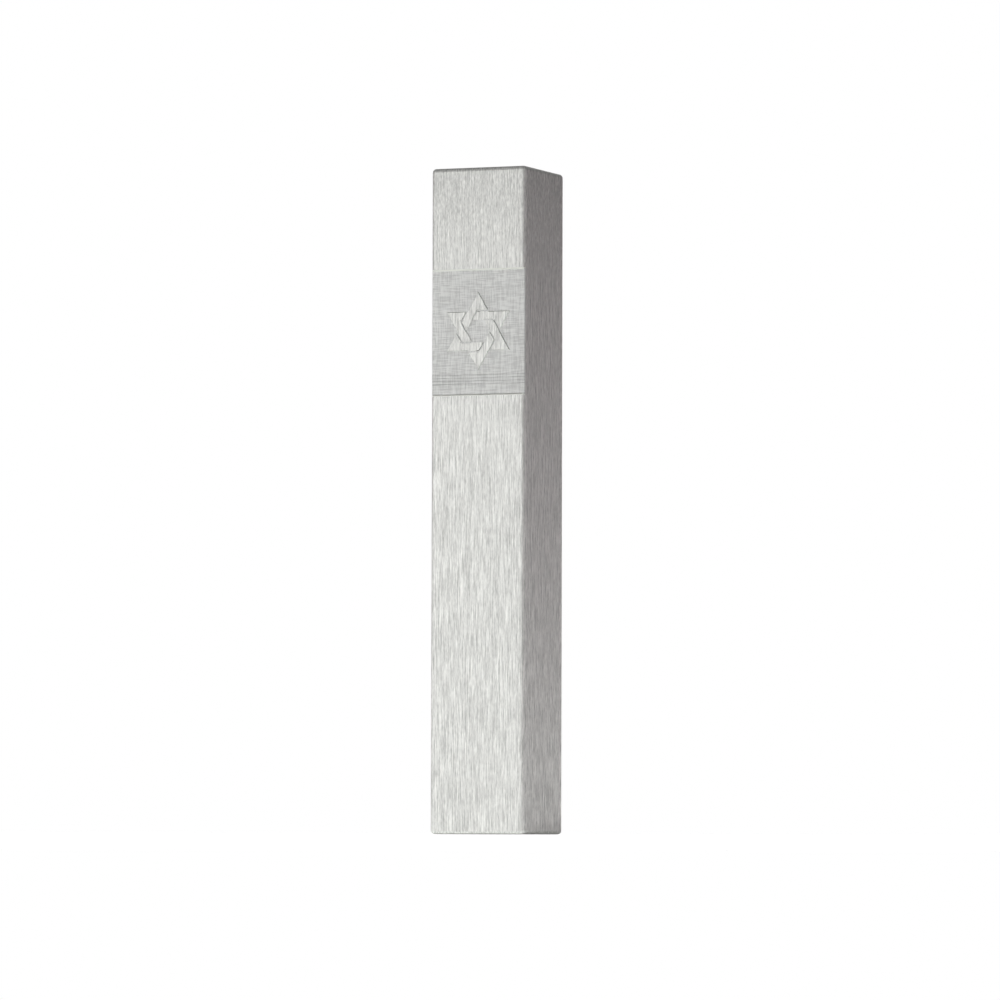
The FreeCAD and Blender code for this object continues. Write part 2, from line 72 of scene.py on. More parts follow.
def linear(hex_colour):
    """The linear red, green and blue of an sRGB hex value."""
    channels = [int(hex_colour[start : start + 2], 16) / 255 for start in (0, 2, 4)]
    return tuple(c / 12.92 if c <= 0.04045 else ((c + 0.055) / 1.055) ** 2.4 for c in channels)


def colour(name, description, hex_colour):
    """A colour that a user can change."""
    return FloatVectorProperty(
        name=name,
        description=description,
        subtype="COLOR",
        size=3,
        min=0,
        max=1,
        default=linear(hex_colour),
    )


def length(name, description, millimetres):
    """A length that a user can change."""
    return FloatProperty(
        name=name, description=description, unit="LENGTH", precision=5, default=millimetres * MM
    )


class MezuzahCaseFinish(bpy.types.PropertyGroup):
    """The brushed bar and the milled band across its front."""

    bright: colour("Bright Grain", "The anodised metal along the ridges of its grain", "FDFFFA")
    dull: colour("Dull Grain", "The anodised metal along the furrows of its grain", "C6C8C4")
    milled: colour("Milled Floor", "The floor of the band, cut after the bar was brushed", "DFE1DE")
    grain_width: length("Grain Width", "From one brush furrow to the next", 0.17)
    grain_length: length("Grain Length", "Length of a brush furrow", 4.6)
    grain_depth: length("Grain Depth", "Depth of a brush furrow", 0.009)
    wander: length("Wander", "How far a furrow strays to the side", 0.12)
    wander_length: length("Wander Length", "From one bend of a furrow to the next", 6.0)
    # Towards the top the strokes get shorter, and the grain's tone is painted darker there as
    # shade.
    shorter_strokes_and_shade_start: length(
        "Duller Start", "Below the top, where the strokes start to get shorter", 24.0
    )
    shorter_strokes_and_shade_end: length("Duller End", "Below the top, where the strokes are shortest", 4.0)
    fall_width: length("Fall Width", "How far from an upright edge a face starts to fall away", 2.4)
    fall_depth: length("Fall Depth", "How far a face falls away at an upright edge", 0.13)
    mill_pitch: length("Mill Pitch", "From one cutter mark to the next", 0.19)
    mill_length: length("Mill Length", "Length of a cutter mark", 2.2)
    band_below_top: length("Band Below Top", "Top face to the band's upper edge", 18.5)
    band_height: length("Band Height", "Height of the milled band", 22.6)
    relief: length("Relief", "Depth of the band below the bar's face", 0.2)
    # Painted highlight: the bright line along the band's edges stands for light that their walls
    # catch from the floor.
    painted_edge_highlight: length("Burr", "Height of the bright burr along the band's edges", 0.3)
    first_pass: length("First Pass", "Lowest deep cutter pass, above the foot of the band", 2.0)
    pass_pitch: length("Pass Pitch", "From one deep cutter pass to the next", 0.54)
    deep_passes: IntProperty(
        name="Deep Passes",
        description="Deep cutter passes near the foot of the band",
        default=4,
        min=1,
    )


class MezuzahFixingFinish(bpy.types.PropertyGroup):
    """The wall plate, its foam tapes and the set screw."""

    plate: colour("Plate", "Bead-blasted aluminium", "C9CAC8")
    steel: colour("Steel", "Stainless steel of the set screw", "B4B3B0")
    nylon: colour("Nylon", "The set screw's soft tip", "E9E6DA")
    foam: colour("Foam", "Closed-cell foam tape", "ECEBE6")
    blast_grit: length("Blast Grit", "Size of a dent from the blasting beads", 0.16)
    foam_cell: length("Foam Cell", "Size of a cell in the foam", 0.14)
    thread_pitch: length("Thread Pitch", "Pitch of the set screw's thread", 0.45)
    thread_depth: length("Thread Depth", "Crest to root of the set screw's thread", 0.2)
    screw_chamfer: length("Screw Chamfer", "Chamfer at both ends of the set screw", 0.2)
    socket_width: length("Socket Width", "The set screw's socket across its flats", 1.3)
    socket_depth: length("Socket Depth", "Depth of the set screw's socket", 1.0)
    tip_hole: length("Tip Hole", "Diameter of the hole that holds the soft tip", 1.1)
    tip_hole_depth: length("Tip Hole Depth", "Depth of the hole that holds the soft tip", 0.8)


class MezuzahCartridgeFinish(bpy.types.PropertyGroup):
    """The plug, its rings, the clear tube and the parchment in it."""

    plug: colour("Plug", "Turned and anodised aluminium", "DCDDD9")
    ring: colour("Ring", "Nitrile rubber", "1B1B1C")
    tube: colour("Tube", "Clear plastic", "F4F8F8")
    cap: colour("Cap", "Natural polyethylene", "E4E7E6")
    parchment: colour("Parchment", "Prepared parchment", "EBDDB8")
    parchment_dark: colour("Parchment Mottle", "Darker clouds in the parchment", "D8C496")
    turning_pitch: length("Turning Pitch", "From one lathe mark to the next", 0.14)
    sheet_thickness: length("Sheet Thickness", "Thickness of the parchment", 0.24)
    roll_pitch: length("Roll Pitch", "From one turn of the roll to the next", 0.48)
    half_turns: IntProperty(
        name="Half Turns", description="Half turns in the roll", default=8, min=2
    )


class MezuzahStage(bpy.types.PropertyGroup):
    """The camera, the light and the floor."""

    floor: colour("Floor", "The pale floor", "F0F0F0")
    room: colour("Room", "Tint of the room's light", "FFECF6")
    key_power: FloatProperty(
        name="Key Power", description="Soft panel in front, to the left", default=2.03
    )
    room_power: FloatProperty(
        name="Room Power", description="Even light from all round", default=0.288
    )
    ceiling_power: FloatProperty(
        name="Ceiling Power", description="Light from the ceiling", default=0.23
    )
    overhead_power: FloatProperty(
        name="Overhead Power", description="Soft light that casts the shadow", default=2.4
    )
    overhead_azimuth: FloatProperty(
        name="Overhead Azimuth",
        description="Overhead light to the right of the front",
        subtype="ANGLE",
        default=math.radians(-35),
    )
    overhead_rise: FloatProperty(
        name="Overhead Rise",
        description="Overhead light above the floor",
        subtype="ANGLE",
        default=math.radians(62),
    )
    overhead_spread: FloatProperty(
        name="Overhead Spread",
        description="Width of the overhead light, as seen from the case",
        subtype="ANGLE",
        default=math.radians(40),
    )
    floor_glow: FloatProperty(
        name="Floor Glow", description="Light that the floor gives off", default=0.08
    )
    floor_lift: FloatProperty(
        name="Floor Lift", description="Added to the floor where it is looked at", default=0.26
    )
    azimuth: FloatProperty(
        name="Azimuth",
        description="Camera to the right of the front",
        subtype="ANGLE",
        default=math.radians(22.5),
    )
    distance: length("Distance", "Camera to the middle of the case, measured level", 1181.0)
    height: length("Height", "Camera above the foot of the case", 0.2)
    aim: length("Aim", "How far right of the middle of the case the camera looks", 0.52)
    aim_height: length("Aim Height", "How far above the middle of the case the camera looks", 0.41)
    lean: FloatProperty(
        name="Lean",
        description="Turn of the camera about its line of sight",
        subtype="ANGLE",
        default=math.radians(0.155),
    )
    lens: FloatProperty(name="Lens", description="Focal length", unit="CAMERA", default=235.3)


def add(tree, kind, sockets=None, **settings):
    """Adds a node with its settings. A socket gets a value, or a link from another's output."""
    node = tree.nodes.new(kind)
    for name, value in settings.items():
        setattr(node, name, value)
    for name, value in (sockets or {}).items():
        if isinstance(value, bpy.types.NodeSocket):
            tree.links.new(value, node.inputs[name])
        else:
            node.inputs[name].default_value = value
    return node


def new_material(name):
    """A material with an empty node tree."""
    material = bpy.data.materials.new(name)
    material.use_nodes = True
    material.node_tree.nodes.clear()
    return material, material.node_tree


def finish_surface(tree, sockets):
    """The shader and the output of a material."""
    shader = add(tree, "ShaderNodeBsdfPrincipled", sockets)
    add(tree, "ShaderNodeOutputMaterial", {"Surface": shader.outputs["BSDF"]})
    return shader


def dress(node, material):
    """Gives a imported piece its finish."""
    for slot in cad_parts[node].material_slots:
        slot.material = material


def opaque(rgb):
    """A colour with full alpha."""
    return (*rgb, 1.0)


def mottled(tree, tint, pattern, low, high):
    """A tint made lighter and darker by a noise, most of which lies between 0.3 and 0.7."""
    tone = add(
        tree,
        "ShaderNodeMapRange",
        {"Value": pattern, "From Min": 0.3, "From Max": 0.7, "To Min": low, "To Max": high},
    )
    return add(
        tree, "ShaderNodeVectorMath", {0: tuple(tint), "Scale": tone.outputs[0]}, operation="SCALE"
    ).outputs[0]


def brushed_aluminium(finish):
    """Brushed and clear-anodised aluminium, with a band milled after brushing.

    Long uneven furrows spread each highlight sideways and leave a soft, streaky sheen. The floor
    of the band is cut by a small cutter both ways, so it is duller and looks like linen.
    """
    material, tree = new_material("brushed_anodised_aluminium")
    place = add(tree, "ShaderNodeTexCoord")
    position = add(tree, "ShaderNodeSeparateXYZ", {"Vector": place.outputs["Object"]})
    facing = add(tree, "ShaderNodeSeparateXYZ", {"Vector": place.outputs["Normal"]})

    # Upright grain on the four sides, and grain from side to side on the two ends. Real furrows
    # are a few hundredths of a millimetre wide, too fine to show, so they are drawn coarser.
    wave = add(
        tree,
        "ShaderNodeTexNoise",
        {"Vector": place.outputs["Object"], "Scale": 1 / finish.wander_length, "Detail": 1.0},
    )
    sway = add(
        tree,
        "ShaderNodeVectorMath",
        {0: wave.outputs["Color"], 1: (0.5, 0.5, 0.5)},
        operation="SUBTRACT",
    )
    swayed = add(
        tree,
        "ShaderNodeVectorMath",
        {
            0: sway.outputs["Vector"],
            1: (finish.wander, finish.wander, 0.0),
            2: place.outputs["Object"],
        },
        operation="MULTIPLY_ADD",
    )
    facing_end = add(tree, "ShaderNodeMath", {0: facing.outputs["Z"]}, operation="ABSOLUTE")
    is_end = add(
        tree, "ShaderNodeMath", {0: facing_end.outputs[0], 1: 0.8}, operation="GREATER_THAN"
    )
    # Nearness to the top: it shortens the strokes and sets the painted shade.
    near_top = add(
        tree,
        "ShaderNodeMapRange",
        {
            "Value": position.outputs["Z"],
            "From Min": CASE_HIGH.z - finish.shorter_strokes_and_shade_start,
            "From Max": CASE_HIGH.z - finish.shorter_strokes_and_shade_end,
        },
        interpolation_type="SMOOTHSTEP",
    )

    # The sides were brushed with a coarser grit than the front.
    side_grit = 0.62

    def furrows(width, reach, detail):
        """Noise drawn out along the grain."""
        upright = add(
            tree,
            "ShaderNodeVectorMath",
            {0: swayed.outputs["Vector"], 1: (1 / width, side_grit / width, 1 / reach)},
            operation="MULTIPLY",
        )
        level = add(
            tree,
            "ShaderNodeVectorMath",
            {0: swayed.outputs["Vector"], 1: (1 / reach, 1 / width, 1 / width)},
            operation="MULTIPLY",
        )
        drawn = add(
            tree,
            "ShaderNodeMix",
            {0: is_end.outputs[0], VECTOR_A: upright.outputs[0], VECTOR_B: level.outputs[0]},
            data_type="VECTOR",
        )
        return add(
            tree,
            "ShaderNodeTexNoise",
            {"Vector": drawn.outputs[VECTOR_OUT], "Scale": 1.0, "Detail": detail, "Roughness": 0.6},
        ).outputs["Fac"]

    width, reach = finish.grain_width, finish.grain_length
    long_strokes = furrows(width, reach, 2.0)
    short_strokes = furrows(1.1 * width, 0.22 * reach, 2.0)
    broad_strokes = furrows(3.5 * width, 1.6 * reach, 1.0)
    fine = add(
        tree,
        "ShaderNodeMapRange",
        {"Value": near_top.outputs[0], "To Min": 0.33, "To Max": 0.55},
    )
    strokes = add(
        tree,
        "ShaderNodeMix",
        {0: fine.outputs[0], 2: long_strokes, 3: short_strokes},
        data_type="FLOAT",
    )
    grain = add(
        tree, "ShaderNodeMix", {0: 0.05, 2: strokes.outputs[0], 3: broad_strokes}, data_type="FLOAT"
    )

    # The floor of the band: below the bar's face, and between the band's two edges.
    face = CASE_LOW.y
    high = CASE_HIGH.z - finish.band_below_top
    low = high - finish.band_height
    below_face = add(
        tree,
        "ShaderNodeMapRange",
        {
            "Value": position.outputs["Y"],
            "From Min": face + 0.55 * finish.relief,
            "From Max": face + 0.9 * finish.relief,
        },
    )
    near_front = add(
        tree,
        "ShaderNodeMath",
        {0: position.outputs["Y"], 1: face + 1.6 * finish.relief},
        operation="LESS_THAN",
    )
    under_top = add(
        tree, "ShaderNodeMath", {0: position.outputs["Z"], 1: high}, operation="LESS_THAN"
    )
    over_foot = add(
        tree, "ShaderNodeMath", {0: position.outputs["Z"], 1: low}, operation="GREATER_THAN"
    )
    between = add(
        tree,
        "ShaderNodeMath",
        {0: under_top.outputs[0], 1: over_foot.outputs[0]},
        operation="MULTIPLY",
    )
    in_band = add(
        tree,
        "ShaderNodeMath",
        {0: between.outputs[0], 1: near_front.outputs[0]},
        operation="MULTIPLY",
    )
    milled = add(
        tree,
        "ShaderNodeMath",
        {0: in_band.outputs[0], 1: below_face.outputs[0]},
        operation="MULTIPLY",
    )

    # Cutter marks in both directions, drawn about twice as coarse as real ones so that they show.
    pitch, reach = 1 / finish.mill_pitch, 1 / finish.mill_length
    marks = []
    for scale in ((reach, pitch, pitch), (pitch, pitch, reach)):
        stretched = add(
            tree,
            "ShaderNodeVectorMath",
            {0: place.outputs["Object"], 1: scale},
            operation="MULTIPLY",
        )
        mark = add(
            tree,
            "ShaderNodeTexNoise",
            {"Vector": stretched.outputs[0], "Scale": 1.0, "Detail": 1.5, "Roughness": 0.5},
        )
        marks.append(mark.outputs["Fac"])
    linen = add(tree, "ShaderNodeMath", {0: marks[0], 1: marks[1]}, operation="ADD")
    linen_half = add(tree, "ShaderNodeMath", {0: linen.outputs[0], 1: 0.5}, operation="MULTIPLY")

    # Deeper passes of the cutter near the foot of the band.
    half_pitch = finish.pass_pitch / 2
    above_first = add(
        tree,
        "ShaderNodeMath",
        {0: position.outputs["Z"], 1: low + finish.first_pass},
        operation="SUBTRACT",
    )
    passes = add(
        tree, "ShaderNodeMath", {0: above_first.outputs[0], 1: half_pitch}, operation="PINGPONG"
    )
    in_line = add(
        tree,
        "ShaderNodeMapRange",
        {
            "Value": passes.outputs[0],
            "From Min": 0.03 * MM,
            "From Max": 0.13 * MM,
            "To Min": 1.0,
            "To Max": 0.0,
        },
    )
    pass_zone = add(
        tree,
        "ShaderNodeMath",
        {
            0: above_first.outputs[0],
            1: (finish.deep_passes - 1) * half_pitch,
            2: finish.deep_passes * half_pitch,
        },
        operation="COMPARE",
    )
    pass_line = add(
        tree,
        "ShaderNodeMath",
        {0: in_line.outputs[0], 1: pass_zone.outputs[0]},
        operation="MULTIPLY",
    )

    # A smaller spread gives the grain more contrast. The sides have a little more than the front.
    sideways = add(tree, "ShaderNodeMath", {0: facing.outputs["X"]}, operation="ABSOLUTE")
    tone_spread = add(
        tree, "ShaderNodeMapRange", {"Value": sideways.outputs[0], "To Min": 0.13, "To Max": 0.1}
    )
    # Painted shade: the grain's tone is set a little darker towards the top, where the front gets
    # less light.
    tone_middle = add(
        tree, "ShaderNodeMath", {0: near_top.outputs[0], 1: 0.03, 2: 0.5}, operation="MULTIPLY_ADD"
    )
    tone_low = add(
        tree,
        "ShaderNodeMath",
        {0: tone_middle.outputs[0], 1: tone_spread.outputs[0]},
        operation="SUBTRACT",
    )
    tone_high = add(
        tree,
        "ShaderNodeMath",
        {0: tone_middle.outputs[0], 1: tone_spread.outputs[0]},
        operation="ADD",
    )
    tone = add(
        tree,
        "ShaderNodeMapRange",
        {
            "Value": grain.outputs[0],
            "From Min": tone_low.outputs[0],
            "From Max": tone_high.outputs[0],
        },
    )

    # Painted highlight: a thin bright line along both edges of the band, standing for the light
    # that their walls catch from the floor. It is drawn wider than the walls.
    above_middle = add(
        tree,
        "ShaderNodeMath",
        {0: position.outputs["Z"], 1: (high + low) / 2},
        operation="SUBTRACT",
    )
    off_middle = add(tree, "ShaderNodeMath", {0: above_middle.outputs[0]}, operation="ABSOLUTE")
    corner = add(
        tree,
        "ShaderNodeMath",
        {0: off_middle.outputs[0], 1: finish.band_height / 2, 2: finish.painted_edge_highlight / 2},
        operation="COMPARE",
    )
    painted_edge_highlight = add(
        tree,
        "ShaderNodeMath",
        {0: corner.outputs[0], 1: near_front.outputs[0]},
        operation="MULTIPLY",
    )
    brightest = add(
        tree, "ShaderNodeMath", {0: painted_edge_highlight.outputs[0], 1: tone.outputs[0]}, operation="MAXIMUM"
    )
    brushed_colour = add(
        tree,
        "ShaderNodeMix",
        {0: brightest.outputs[0], COLOUR_A: opaque(finish.dull), COLOUR_B: opaque(finish.bright)},
        data_type="RGBA",
    )
    milled_tone = add(
        tree,
        "ShaderNodeMapRange",
        {
            "Value": linen_half.outputs[0],
            "From Min": 0.4,
            "From Max": 0.6,
            "To Min": 0.86,
            "To Max": 1.12,
        },
    )
    lined_tone = add(
        tree,
        "ShaderNodeMath",
        {0: pass_line.outputs[0], 1: -0.24, 2: milled_tone.outputs[0]},
        operation="MULTIPLY_ADD",
    )
    milled_colour = add(
        tree,
        "ShaderNodeVectorMath",
        {0: tuple(finish.milled), "Scale": lined_tone.outputs[0]},
        operation="SCALE",
    )
    metal = add(
        tree,
        "ShaderNodeMix",
        {
            0: milled.outputs[0],
            COLOUR_A: brushed_colour.outputs[COLOUR_OUT],
            COLOUR_B: milled_colour.outputs[0],
        },
        data_type="RGBA",
    )
    brushed_roughness = add(
        tree,
        "ShaderNodeMapRange",
        {
            "Value": grain.outputs[0],
            "From Min": 0.38,
            "From Max": 0.62,
            "To Min": 0.46,
            "To Max": 0.36,
        },
    )
    cut_roughness = add(
        tree,
        "ShaderNodeMix",
        {0: milled.outputs[0], 2: brushed_roughness.outputs[0], 3: 0.5},
        data_type="FLOAT",
    )
    roughness = add(
        tree,
        "ShaderNodeMix",
        {0: painted_edge_highlight.outputs[0], 2: cut_roughness.outputs[0], 3: 0.75},
        data_type="FLOAT",
    )
    height = add(
        tree,
        "ShaderNodeMix",
        {0: milled.outputs[0], 2: grain.outputs[0], 3: linen_half.outputs[0]},
        data_type="FLOAT",
    )
    furrowed = add(
        tree,
        "ShaderNodeBump",
        {"Height": height.outputs[0], "Distance": finish.grain_depth, "Strength": 1.0},
    )

    # Brushing by hand lets each face fall away a little beside its upright edges.
    half = (CASE_HIGH.x - CASE_LOW.x) / 2
    falls = []
    for axis, middle in (("X", CASE_CENTRE.x), ("Y", CASE_CENTRE.y)):
        offset = add(
            tree, "ShaderNodeMath", {0: position.outputs[axis], 1: middle}, operation="SUBTRACT"
        )
        away = add(tree, "ShaderNodeMath", {0: offset.outputs[0]}, operation="ABSOLUTE")
        fall = add(
            tree,
            "ShaderNodeMapRange",
            {
                "Value": away.outputs[0],
                "From Min": half - finish.fall_width,
                "From Max": half,
                "To Min": 1.0,
                "To Max": 0.0,
            },
            interpolation_type="SMOOTHSTEP",
        )
        falls.append(fall.outputs[0])
    crown = add(tree, "ShaderNodeMath", {0: falls[0], 1: falls[1]}, operation="ADD")
    relief = add(
        tree,
        "ShaderNodeBump",
        {
            "Height": crown.outputs[0],
            "Distance": finish.fall_depth,
            "Strength": 1.0,
            "Normal": furrowed.outputs["Normal"],
        },
    )
    tangent = add(tree, "ShaderNodeTangent", direction_type="RADIAL", axis="Z")
    finish_surface(
        tree,
        {
            "Base Color": metal.outputs[COLOUR_OUT],
            "Metallic": 1.0,
            "Roughness": roughness.outputs[0],
            "Anisotropic": 0.6,
            "Tangent": tangent.outputs[0],
            "Normal": relief.outputs["Normal"],
        },
    )
    return material


def blasted_aluminium(finish):
    """Extruded aluminium, bead blasted: even, fine dents that scatter light to a dull satin.

    Real dents are about 0.05 mm across. They are drawn three times as coarse so that they show.
    """
    material, tree = new_material("bead_blasted_aluminium")
    place = add(tree, "ShaderNodeTexCoord")
    dents = add(
        tree,
        "ShaderNodeTexVoronoi",
        {"Vector": place.outputs["Object"], "Scale": 1 / finish.blast_grit},
        feature="SMOOTH_F1",
    )
    rubs = add(
        tree,
        "ShaderNodeTexNoise",
        {"Vector": place.outputs["Object"], "Scale": 1 / (5 * MM), "Detail": 4.0},
    )
    metal = mottled(tree, finish.plate, rubs.outputs["Fac"], 0.95, 1.03)
    roughness = add(
        tree,
        "ShaderNodeMapRange",
        {
            "Value": rubs.outputs["Fac"],
            "From Min": 0.3,
            "From Max": 0.7,
            "To Min": 0.58,
            "To Max": 0.44,
        },
    )
    relief = add(
        tree,
        "ShaderNodeBump",
        {"Height": dents.outputs["Distance"], "Distance": 0.006 * MM, "Strength": 1.0},
    )
    finish_surface(
        tree,
        {
            "Base Color": metal,
            "Metallic": 1.0,
            "Roughness": roughness.outputs[0],
            "Normal": relief.outputs["Normal"],
        },
    )
    return material


def turned_aluminium(finish, axis):
    """Turned and anodised aluminium: rings left by the lathe tool, which gleam in two fans.

    A finishing cut leaves rings about 0.05 mm apart. They are drawn coarser so that they show.
    """
    material, tree = new_material("turned_anodised_aluminium")
    place = add(tree, "ShaderNodeTexCoord")
    centred = add(
        tree, "ShaderNodeVectorMath", {0: place.outputs["Object"], 1: axis}, operation="SUBTRACT"
    )
    split = add(tree, "ShaderNodeSeparateXYZ", {"Vector": centred.outputs[0]})
    level = add(tree, "ShaderNodeCombineXYZ", {"X": split.outputs["X"], "Y": split.outputs["Y"]})
    radius = add(tree, "ShaderNodeVectorMath", {0: level.outputs[0]}, operation="LENGTH")
    profile = add(
        tree, "ShaderNodeCombineXYZ", {"X": radius.outputs["Value"], "Z": split.outputs["Z"]}
    )
    rings = add(
        tree,
        "ShaderNodeTexNoise",
        {"Vector": profile.outputs[0], "Scale": 1 / finish.turning_pitch, "Detail": 2.0},
    )
    metal = mottled(tree, finish.plug, rings.outputs["Fac"], 0.86, 1.04)
    relief = add(
        tree,
        "ShaderNodeBump",
        {"Height": rings.outputs["Fac"], "Distance": 0.004 * MM, "Strength": 1.0},
    )
    tangent = add(tree, "ShaderNodeTangent", direction_type="RADIAL", axis="Z")
    finish_surface(
        tree,
        {
            "Base Color": metal,
            "Metallic": 1.0,
            "Roughness": 0.32,
            "Anisotropic": 0.6,
            "Anisotropic Rotation": 0.25,
            "Tangent": tangent.outputs[0],
            "Normal": relief.outputs["Normal"],
        },
    )
    return material


def stainless_steel(finish):
    """Stainless steel, thread rolled: a cold satin gleam with small scuffs."""
    material, tree = new_material("stainless_steel")
    place = add(tree, "ShaderNodeTexCoord")
    scuffs = add(
        tree,
        "ShaderNodeTexNoise",
        {"Vector": place.outputs["Object"], "Scale": 1 / (0.3 * MM), "Detail": 3.0},
    )
    metal = mottled(tree, finish.steel, scuffs.outputs["Fac"], 0.9, 1.05)
    roughness = add(
        tree,
        "ShaderNodeMapRange",
        {
            "Value": scuffs.outputs["Fac"],
            "From Min": 0.3,
            "From Max": 0.7,
            "To Min": 0.22,
            "To Max": 0.38,
        },
    )
    relief = add(
        tree,
        "ShaderNodeBump",
        {"Height": scuffs.outputs["Fac"], "Distance": 0.004 * MM, "Strength": 1.0},
    )
    finish_surface(
        tree,
        {
            "Base Color": metal,
            "Metallic": 1.0,
            "Roughness": roughness.outputs[0],
            "Normal": relief.outputs["Normal"],
        },
    )
    return material


def moulded_plastic(name, tint, roughness, glow=0.0):
    """Moulded plastic: an even colour with a slightly uneven skin."""
    material, tree = new_material(name)
    place = add(tree, "ShaderNodeTexCoord")
    skin = add(
        tree,
        "ShaderNodeTexNoise",
        {"Vector": place.outputs["Object"], "Scale": 1 / (0.4 * MM), "Detail": 3.0},
    )
    body = mottled(tree, tint, skin.outputs["Fac"], 0.95, 1.0)
    relief = add(
        tree,
        "ShaderNodeBump",
        {"Height": skin.outputs["Fac"], "Distance": 0.004 * MM, "Strength": 1.0},
    )
    finish_surface(
        tree,
        {
            "Base Color": body,
            "Roughness": roughness,
            "IOR": 1.5,
            "Subsurface Weight": glow,
            "Subsurface Scale": 0.5 * MM,
            "Normal": relief.outputs["Normal"],
        },
    )
    return material


def nitrile_rubber(finish):
    """Nitrile rubber: near black, with a faint bloom that dulls its gloss in patches."""
    material, tree = new_material("nitrile_rubber")
    place = add(tree, "ShaderNodeTexCoord")
    bloom = add(
        tree,
        "ShaderNodeTexNoise",
        {"Vector": place.outputs["Object"], "Scale": 1 / (1.5 * MM), "Detail": 4.0},
    )
    roughness = add(
        tree,
        "ShaderNodeMapRange",
        {
            "Value": bloom.outputs["Fac"],
            "From Min": 0.3,
            "From Max": 0.7,
            "To Min": 0.34,
            "To Max": 0.55,
        },
    )
    body = mottled(tree, finish.ring, bloom.outputs["Fac"], 0.8, 1.5)
    finish_surface(tree, {"Base Color": body, "Roughness": roughness.outputs[0], "IOR": 1.52})
    return material


def clear_plastic(finish):
    """Clear extruded plastic: bright reflections over what lies inside, with faint draw lines."""
    material, tree = new_material("clear_extruded_plastic")
    place = add(tree, "ShaderNodeTexCoord")
    drawn = add(
        tree,
        "ShaderNodeVectorMath",
        {0: place.outputs["Object"], 1: (1 / (0.5 * MM), 1 / (0.5 * MM), 1 / (40 * MM))},
        operation="MULTIPLY",
    )
    lines = add(
        tree, "ShaderNodeTexNoise", {"Vector": drawn.outputs[0], "Scale": 1.0, "Detail": 1.0}
    )
    relief = add(
        tree,
        "ShaderNodeBump",
        {"Height": lines.outputs["Fac"], "Distance": 0.004 * MM, "Strength": 1.0},
    )
    finish_surface(
        tree,
        {
            "Base Color": opaque(finish.tube),
            "Roughness": 0.06,
            "IOR": 1.49,
            "Alpha": 0.26,
            "Normal": relief.outputs["Normal"],
        },
    )
    return material


def closed_cell_foam(finish):
    """Closed-cell foam: matt and off-white, with tiny cells open where it was cut.

    Real cells are nearer 0.1 mm. They are drawn a little larger so that they show.
    """
    material, tree = new_material("closed_cell_foam")
    place = add(tree, "ShaderNodeTexCoord")
    cells = add(
        tree,
        "ShaderNodeTexVoronoi",
        {"Vector": place.outputs["Object"], "Scale": 1 / finish.foam_cell},
    )
    tone = add(
        tree,
        "ShaderNodeMapRange",
        {
            "Value": cells.outputs["Distance"],
            "From Min": 0.0,
            "From Max": 0.7,
            "To Min": 0.78,
            "To Max": 1.0,
        },
    )
    body = add(
        tree,
        "ShaderNodeVectorMath",
        {0: tuple(finish.foam), "Scale": tone.outputs[0]},
        operation="SCALE",
    )
    relief = add(
        tree,
        "ShaderNodeBump",
        {"Height": cells.outputs["Distance"], "Distance": 0.03 * MM, "Strength": 0.7},
    )
    finish_surface(
        tree,
        {
            "Base Color": body.outputs[0],
            "Roughness": 0.85,
            "IOR": 1.45,
            "Normal": relief.outputs["Normal"],
        },
    )
    return material


def prepared_parchment(finish):
    """Prepared parchment: cream, clouded where the skin was thicker, with a fine nap."""
    material, tree = new_material("prepared_parchment")
    place = add(tree, "ShaderNodeTexCoord")
    clouds = add(
        tree,
        "ShaderNodeTexNoise",
        {"Vector": place.outputs["Object"], "Scale": 1 / (9 * MM), "Detail": 5.0},
    )
    nap = add(
        tree,
        "ShaderNodeTexNoise",
        {"Vector": place.outputs["Object"], "Scale": 1 / (0.25 * MM), "Detail": 3.0},
    )
    shade = add(
        tree,
        "ShaderNodeMapRange",
        {"Value": clouds.outputs["Fac"], "From Min": 0.35, "From Max": 0.7},
    )
    body = add(
        tree,
        "ShaderNodeMix",
        {
            0: shade.outputs[0],
            COLOUR_A: opaque(finish.parchment),
            COLOUR_B: opaque(finish.parchment_dark),
        },
        data_type="RGBA",
    )
    relief = add(
        tree,
        "ShaderNodeBump",
        {"Height": nap.outputs["Fac"], "Distance": 0.02 * MM, "Strength": 0.8},
    )
    finish_surface(
        tree,
        {
            "Base Color": body.outputs[COLOUR_OUT],
            "Roughness": 0.62,
            "IOR": 1.5,
            "Sheen Weight": 0.15,
            "Normal": relief.outputs["Normal"],
        },
    )
    return material


def piece_from(mesh, name, material):
    """Turns a bmesh into an object of the scene, with one finish."""
    data = bpy.data.meshes.new(name)
    mesh.to_mesh(data)
    mesh.free()
    data.materials.append(material)
    data.shade_smooth()
    piece = bpy.data.objects.new(name, data)
    bpy.context.scene.collection.objects.link(piece)
    return piece


def foam_strip(name, low, high, material):
    """A strip of foam with soft edges and slightly hollow cut sides."""
    softness, hollow, ripple_length = 0.12 * MM, 0.015, 3 * MM
    mesh = bmesh.new()
    size, centre = high - low, (low + high) / 2
    bmesh.ops.create_cube(
        mesh, size=1.0, matrix=Matrix.Translation(centre) @ Matrix.Diagonal((*size, 1.0))
    )
    bmesh.ops.bevel(
        mesh,
        geom=mesh.edges[:],
        offset=softness,
        offset_type="OFFSET",
        affect="EDGES",
        segments=3,
        profile=0.5,
        material=-1,
    )
    long_edges = [edge for edge in mesh.edges if edge.calc_length() > size.z / 2]
    bmesh.ops.subdivide_edges(mesh, edges=long_edges, cuts=24, use_grid_fill=True)
    for vertex in mesh.verts:
        away = vertex.co.x - centre.x
        ripple = noise.noise(vertex.co / ripple_length)
        vertex.co.x = centre.x + away * (1 - hollow + hollow * ripple)
    bmesh.ops.recalc_face_normals(mesh, faces=mesh.faces[:])
    return piece_from(mesh, name, material)


